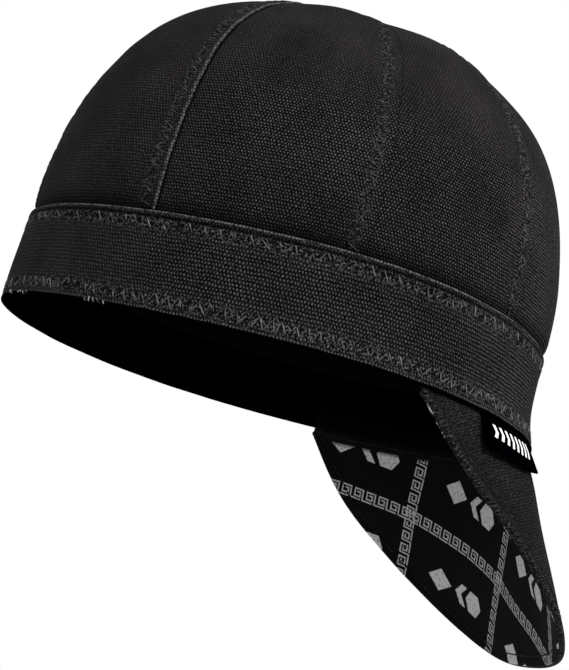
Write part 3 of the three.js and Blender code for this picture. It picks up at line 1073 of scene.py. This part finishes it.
def label_piece():
    start = -LABEL_ANGLE / BILL_HALF_ANGLE
    first = bill_point(start, 0)
    slope = np.linalg.norm(first - bill_point(start + NUDGE, 0)) / NUDGE
    span = LABEL_LENGTH / slope
    columns = 64
    share = np.linspace(0, 1, columns)[:, None]
    side = start + share * span
    length = bill_length(side)
    straight = lerp(LABEL_FAR_HEIGHT, LABEL_NEAR_HEIGHT, share)
    height = straight + 1.6 * np.sin(math.pi * share)
    face = np.linspace(0, 1, 15)
    # Places down the label, and its thickness, from the front face round the fold to the back.
    drop = np.concatenate([face, 1 + 0 * FOLD_ANGLES, face[::-1]])[None]
    past = np.concatenate([0 * face, LABEL_FOLD * np.sin(FOLD_ANGLES), 0 * face])[None]
    within = np.concatenate([0 * face, (1 - np.cos(FOLD_ANGLES)) / 2, 1 + 0 * face])[None] * LABEL_WALL
    below = LABEL_TOP - LABEL_TUCK + (height + LABEL_TUCK) * drop + past
    corner = smooth((share - 0.72) / 0.28) * drop**1.6
    buckle = 0.35 * np.sin(share * 7.5 + 0.6) * drop
    lift = CLOTH_GAP + LABEL_LIFT * drop + LABEL_WALL - within + 0.2 * corner + buckle
    down = below / length
    side = side + LABEL_SHEAR * (1 - drop) * (1 - share) / slope
    points = bill_layer_point(side, down, -lift)
    uvs = np.stack([(share - 0.5) * LABEL_LENGTH + 0 * drop, (0.46 - drop) * straight], axis=-1)
    points = np.concatenate([points, (points[:, :1] + points[:, -1:]) / 2], axis=1)
    uvs = np.concatenate([uvs, uvs[:, :1]], axis=1)
    place_piece("label_tab", loop_solid(points, uvs), [tape], ["label"])


label_piece()

# Stitches

THREAD_SIDES = 6
ROOT_STITCH = 0.9
# Each bit's start and end as shares of the way round, then its width and the thread's radius in mm
HEM_BITS = ((0.527, 0.533, 0.3, 0.45), (0.539, 0.551, 0.5, 0.28), (0.601, 0.616, 1.5, 0.22))


def thread_tube(path, normals, radius, strokes):
    """A tube round a path, as loops. strokes counts the strokes along it."""
    ahead = unit(np.gradient(path, axis=0))
    aside = unit(np.cross(ahead, normals))
    upward = np.cross(aside, ahead)
    angles = np.linspace(0, 2 * math.pi, THREAD_SIDES, endpoint=False)[None, :, None]
    loops = path[:, None] + radius * (np.cos(angles) * aside[:, None] + np.sin(angles) * upward[:, None])
    around = np.linspace(0, 1, THREAD_SIDES)[None]
    uvs = np.stack([strokes[:, None] + 0 * around, around + 0 * strokes[:, None]], axis=-1)
    return loop_solid(loops, uvs)


def stitch_row(surface, start, end, pitch, width, radius, lift, seed, slack):
    """One row of zigzag stitches on a surface(along, across), or a straight row for no width. slack
    is how unevenly they are sewn."""
    rng = np.random.default_rng(seed)
    strokes = max(2, int(round((end - start) / pitch * 2)))
    ends = np.arange(strokes + 1)
    along = start + (end - start) * ends / strokes
    along = along + rng.normal(size=strokes + 1) * pitch * slack * 0.5
    across = width / 2 * (1 - 2 * (ends % 2)) + rng.normal(size=strokes + 1) * slack
    share = np.array([0, 0.12, 0.3, 0.5, 0.7, 0.88])
    a = lerp(along[:-1, None], along[1:, None], share).ravel()
    b = lerp(across[:-1, None], across[1:, None], share).ravel()
    rise = np.tile(lift * (np.sin(math.pi * share) ** 0.6) - 0.35 * (share == 0), strokes)
    counted = (ends[:-1, None] + share).ravel()
    path, normals = surface(a, b)
    return thread_tube(path + normals * rise[:, None], normals, radius, counted)


def join(solids):
    """Several solids as one."""
    offsets = np.cumsum([0] + [len(points) for points, _, _, _ in solids])
    shifted = [(p, quads + offset, uvs, part) for (p, quads, uvs, part), offset in zip(solids, offsets)]
    return tuple(np.concatenate(items) for items in zip(*shifted))


def seam_surface(index):
    def surface(along, across):
        width = panel_width(index, crown_up(along))
        scale = lap_scale(width)
        return panel_point(index, width - (SEAM_STITCH - across) * scale, along, 0)

    return surface


def band_surface(height):
    def surface(along, across):
        turn = turn_at(along / BAND_TOP_ROUND)
        return band_point(turn, height + across, 0)

    return surface


seam_rows = [
    stitch_row(seam_surface(i), 0.8, CROWN_LENGTH - 7, 4.9, 4.6, radius, 0.12, 40 + i, 0.25)
    for i, radius in enumerate(SEAM_THREADS)
]
place_piece("crown_stitches", join(seam_rows), [seam_thread])


def band_row(name, height, pitch, width, material, seed):
    row = stitch_row(band_surface(height), 0, BAND_TOP_ROUND, pitch, width, 0.2, 0.14, seed, 0.25)
    place_piece(name, row, [material])


band_row("band_stitches", BAND_HEIGHT - TOP_STITCH, TOP_STITCH_PITCH, TOP_STITCH_WIDTH, band_thread, 61)
band_row("hem_stitches", LOW_STITCH, LOW_STITCH_PITCH, LOW_STITCH_WIDTH, hem_thread, 62)


def edge_line():
    """Where the bill's stitched line runs: sides, and how far down each is."""
    sides = np.linspace(-0.96, 0.96, 500)
    downs = np.linspace(0, 1, 160)
    distance = from_edge(sides[:, None], downs[None])
    found = np.array([np.interp(-EDGE_STITCH, -row, downs) for row in distance])
    kept = distance[:, 0] > EDGE_STITCH + 1
    return sides[kept], found[kept]


line_sides, line_downs = edge_line()
line_lengths = length_along(bill_point(line_sides, line_downs))


def edge_surface(depth, facing):
    def surface(along, across):
        side = np.interp(along, line_lengths, line_sides)
        down = np.interp(along, line_lengths, line_downs)
        return bill_layer_point(side, down, depth(side, down)), bill_normal(side, down) * facing

    return surface


outer_line = stitch_row(edge_surface(bill_outer_depth, 1), 0, line_lengths[-1], 6.4, 0, 0.26, 0.16, 71, 0.03)
lining_line = stitch_row(edge_surface(lining_face, -1), 0, line_lengths[-1], 6.4, 0, 0.24, 0.16, 72, 0.03)
place_piece("bill_edge_stitches", join([outer_line, lining_line]), [dark_thread])


def root_surface(along, across):
    side = np.interp(along, root_lengths, line_sides)
    down = (ROOT_STITCH + across) / bill_length(side)
    return bill_layer_point(side, down, lining_face(side, down)), -bill_normal(side, down)


def loose_surface(along, across):
    """A loose loop of thread that stands off the bill's edge at its -X end."""
    side = -0.978 + 0.05 * along
    down = 1 + (1.6 * np.sin(math.pi * np.clip(along * 2, 0, 1)) - 0.3) / bill_length(side)
    return bill_layer_point(side, down, BILL_WALL + 0 * side), -bill_normal(side, down)


root_lengths = length_along(bill_point(line_sides, 0 * line_sides))
root_row = stitch_row(root_surface, 2, root_lengths[-1] - 2, 5.2, 0, 0.17, 0.1, 73, 0.04)
place_piece("bill_root_stitches", root_row, [root_thread])
bits = []
for low, high, width, radius in HEM_BITS:
    start, end = low * BAND_TOP_ROUND, high * BAND_TOP_ROUND
    bits.append(stitch_row(band_surface(0.5), start, end, 1.9, width, radius, 0.2, 80 + len(bits), 0.3))
bits.append(stitch_row(loose_surface, 0, 1, 2, 0, 0.26, 0.15, 90, 0))
place_piece("loose_thread_bits", join(bits), [pale_thread])

# Camera, where the photograph was taken from

AZIMUTH = -99.9153515
ELEVATION = -10.7063591
ROLL = 15.4185118
DISTANCE = 0.777714
TARGET = Vector((0, -0.001974, 0.018710))
LENS = 111.434


def make_camera():
    azimuth, elevation, roll = (math.radians(a) for a in (AZIMUTH, ELEVATION, ROLL))
    level = math.cos(elevation)
    back = Vector((math.sin(azimuth) * level, -math.cos(azimuth) * level, math.sin(elevation)))
    right = Vector((math.cos(azimuth), math.sin(azimuth), 0))
    upward = back.cross(right)
    rolled_right = right * math.cos(roll) + upward * math.sin(roll)
    rolled_up = upward * math.cos(roll) - right * math.sin(roll)
    data = bpy.data.cameras.new("camera")
    data.lens = LENS
    data.sensor_width = 36
    camera = bpy.data.objects.new("camera", data)
    turn = Matrix((rolled_right, rolled_up, back)).transposed().to_4x4()
    camera.matrix_world = Matrix.Translation(TARGET + back * DISTANCE) @ turn
    bpy.context.scene.collection.objects.link(camera)
    bpy.context.scene.camera = camera


make_camera()

# Studio

FLOOR_HEIGHT = -2.2
FLOOR_RADIUS = 7


def make_floor():
    mesh = bpy.data.meshes.new("floor")
    work = bmesh.new()
    bmesh.ops.create_circle(work, cap_ends=True, segments=96, radius=FLOOR_RADIUS)
    work.to_mesh(mesh)
    work.free()
    floor = bpy.data.objects.new("floor", mesh)
    floor.location = (0, 0, FLOOR_HEIGHT)
    bpy.context.scene.collection.objects.link(floor)
    material, _, shader = new_material("floor_paper", 0.9, 0.1)
    shader.inputs["Base Color"].default_value = (0.94, 0.94, 0.94, 1)
    mesh.materials.append(material)


def make_light(name, place, target, size, power):
    data = bpy.data.lights.new(name, "AREA")
    data.shape = "DISK"
    data.size = size
    data.energy = power
    light = bpy.data.objects.new(name, data)
    light.location = place
    light.rotation_euler = (Vector(target) - Vector(place)).to_track_quat("-Z", "Y").to_euler()
    bpy.context.scene.collection.objects.link(light)


make_floor()
world = bpy.data.worlds.new("studio")
world.use_nodes = True
sky = world.node_tree.nodes["Background"]
sky.inputs["Color"].default_value = (1, 1, 1, 1)
sky.inputs["Strength"].default_value = 1.0
bpy.context.scene.world = world
bpy.context.scene.view_settings.view_transform = "Standard"
make_light("key", (-1.3, -1.05, 1.2), (0, 0, 0.04), 0.9, 44)
make_light("fill", (-1.2, 1.2, 0.3), (0, 0, 0.04), 0.9, 3)
